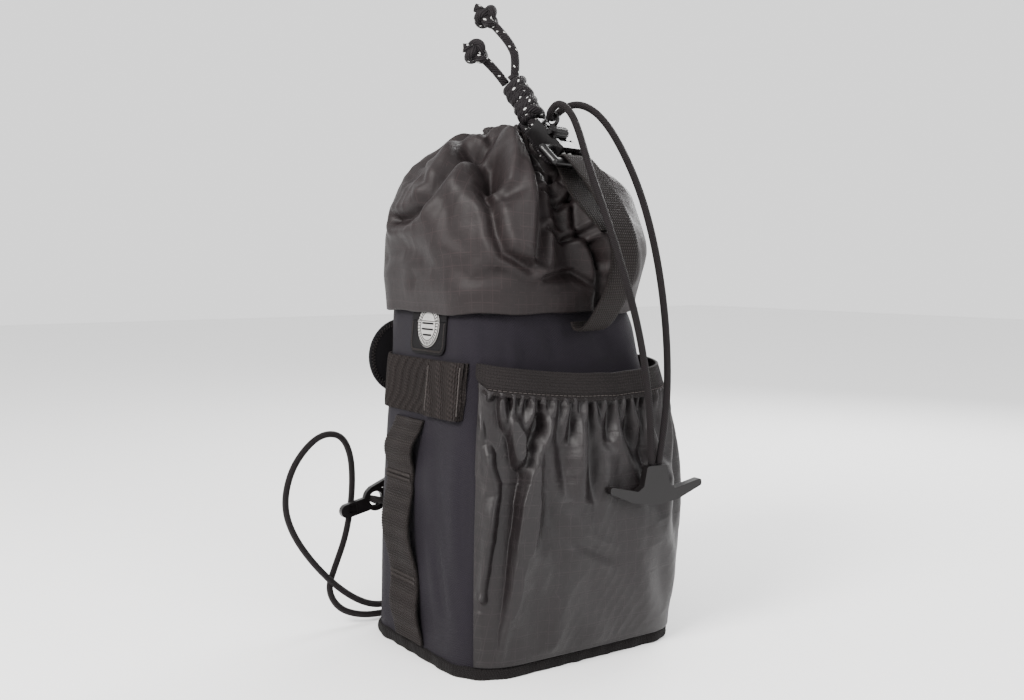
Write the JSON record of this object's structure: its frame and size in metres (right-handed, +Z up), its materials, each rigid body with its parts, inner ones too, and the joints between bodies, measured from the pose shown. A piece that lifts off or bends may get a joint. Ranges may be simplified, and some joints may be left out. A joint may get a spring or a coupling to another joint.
{
  "type": "handlebar stem bag",
  "caption": "Round-cornered fabric stem bag: padded cup, gathered drawstring collar with cord lock and pull handle, elastic-topped front pocket, webbing loops, cords with hooks.",
  "frame": {"origin": "centre of the underside of the base panel, which the bag stands on", "axes": "+Z up along the cup to the gathered mouth; -Y is the front with the pocket and the pull handle; +Y is the back with the strap; -X is the side with the label"},
  "size_m": [0.1633, 0.1392, 0.2958],
  "materials": {
    "shell_fabric": "fine twill, matt",
    "pocket_fabric": "fine twill, matt",
    "board_plastic": "plain sheet",
    "foam": "closed-cell foam",
    "liner_fabric": "smooth nylon",
    "binding_tape": "grosgrain",
    "ripstop": "ripstop grid",
    "webbing": "ribbed webbing",
    "elastic": "ribbed elastic",
    "thread": "thread",
    "label": "woven",
    "label_print": "plain light patch",
    "strap": "hook and loop",
    "drawcord": "braided, light flecks",
    "shock_cord": "braided cover",
    "lock_plastic": "moulded",
    "hook_plastic": "moulded, slight sheen"
  },
  "bodies": {
    "bag": {"base_panel": "shell_fabric", "base_board": "board_plastic", "body_shell": "shell_fabric", "foam_wall": "foam", "liner": "liner_fabric", "base_binding": "binding_tape", "rim_binding": "binding_tape", "collar_skirt": "ripstop", "collar_dome": "ripstop", "drawcord_channel": "ripstop", "drawcord_loop": "drawcord", "waist_band": "webbing", "band_overlap": "webbing", "daisy_chain_left": "webbing", "daisy_chain_right": "webbing", "bar_tacks": "thread", "front_pocket": "pocket_fabric", "pocket_elastic": "elastic", "label_root": "label", "strap_middle": "strap", "cord_lock_body": "lock_plastic", "drawcord_feed_left": "drawcord", "drawcord_feed_right": "drawcord", "pull_handle": "webbing", "base_cord_anchor": "webbing", "hook_cord_anchor": "webbing", "base_cord": "shock_cord", "ring_hook_cord": "shock_cord"},
    "drawcord": {"drawcord_strand_left": "drawcord", "drawcord_strand_right": "drawcord", "lanyard_knot": "drawcord", "drawcord_tail_high": "drawcord", "drawcord_tail_low": "drawcord", "stopper_knot_high": "drawcord", "stopper_knot_low": "drawcord"},
    "toggle": {"top_cord_bight": "shock_cord", "top_cord_left": "shock_cord", "top_cord_right": "shock_cord", "toggle_hook": "hook_plastic"},
    "roller": {"cord_lock_roller": "lock_plastic"},
    "ring_hook_body": {"ring_hook": "hook_plastic"},
    "label": {"label_flap": "label", "label_patch": "label_print"},
    "strap_left": {"strap_wing_left": "strap"},
    "strap_right": {"strap_wing_right": "strap"}
  },
  "joints": [
    {"name": "draw_pull", "type": "slide", "parent": "bag", "child": "drawcord", "axis": [-0.1974, 0.7069, 0.6792], "range_m": [0, 0.015]},
    {"name": "toggle_hook_swing", "type": "hinge", "parent": "bag", "child": "toggle", "pos_m": [-0.00133, -0.02605, 0.2425], "axis": [-0.9631, -0.269, 0], "range_deg": [0, 50]},
    {"name": "lock_roller_slide", "type": "slide", "parent": "bag", "child": "roller", "axis": [0.1974, -0.7069, -0.6792], "range_m": [0, 0.003]},
    {"name": "ring_hook_swivel", "type": "hinge", "parent": "bag", "child": "ring_hook_body", "pos_m": [-0.0488, 0.059, 0.0603], "axis": [0, 1, 0], "range_deg": [-30, 30]},
    {"name": "label_lift", "type": "hinge", "parent": "bag", "child": "label", "pos_m": [-0.05081, 0, 0.1516], "axis": [0, 1, 0], "range_deg": [0, 90]},
    {"name": "strap_wing_left_fold", "type": "hinge", "parent": "bag", "child": "strap_left", "pos_m": [-0.0132, 0.0564, 0.1315], "axis": [0, 0, -1], "range_deg": [0, 95]},
    {"name": "strap_wing_right_fold", "type": "hinge", "parent": "bag", "child": "strap_right", "pos_m": [0.0132, 0.0564, 0.1315], "axis": [0, 0, 1], "range_deg": [0, 95]}
  ]
}
